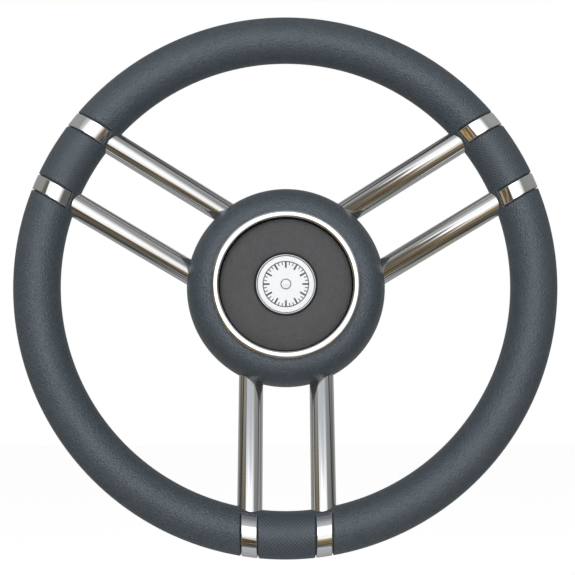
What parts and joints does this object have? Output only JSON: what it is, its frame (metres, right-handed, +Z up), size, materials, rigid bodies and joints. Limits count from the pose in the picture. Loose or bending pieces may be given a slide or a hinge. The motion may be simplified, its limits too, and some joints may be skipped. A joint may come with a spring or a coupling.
{
  "type": "boat steering wheel",
  "caption": "Round boat steering wheel with paired steel tube spokes, a soft moulded rim and hub, and a push-fit centre cap over the shaft nut.",
  "frame": {"origin": "on the wheel's axis in the back face of the boss, where the helm shaft's taper enters", "axes": "Y along the wheel's axis with the front face towards -Y, +Z up through the gap opposite the lower pair of spokes, +X to the right seen from the front"},
  "size_m": [0.35, 0.079, 0.35],
  "materials": {
    "soft_moulding": "satin grained polyurethane",
    "polished_steel": "mirror polished stainless steel",
    "plain_steel": "bare, as turned and welded",
    "carrier_plastic": "moulded, matt",
    "o_ring_rubber": "smooth",
    "pad_cover": "fine grained, matt",
    "badge_plate": "bright, with a dark dial"
  },
  "bodies": {
    "wheel": {"rim_core_ring": "plain_steel", "rim_grip": "soft_moulding", "spoke_tube_lower_a": "polished_steel", "spoke_tube_lower_b": "polished_steel", "spoke_tube_upper_right_a": "polished_steel", "spoke_tube_upper_right_b": "polished_steel", "spoke_tube_upper_left_a": "polished_steel", "spoke_tube_upper_left_b": "polished_steel", "rim_band_lower_a": "polished_steel", "rim_band_lower_b": "polished_steel", "rim_band_upper_right_a": "polished_steel", "rim_band_upper_right_b": "polished_steel", "rim_band_upper_left_a": "polished_steel", "rim_band_upper_left_b": "polished_steel", "hub_boss": "plain_steel", "hub_cup": "plain_steel", "hub_moulding": "soft_moulding", "hub_trim_ring": "polished_steel"},
    "centre_cap": {"cap_carrier": "carrier_plastic", "cap_o_ring": "o_ring_rubber", "cap_pad": "pad_cover", "badge_bezel": "polished_steel", "badge_disc": "badge_plate"}
  },
  "joints": [
    {"name": "cap_pull", "type": "slide", "parent": "wheel", "child": "centre_cap", "axis": [0, -1, 0], "range_m": [0, 0.03]}
  ]
}
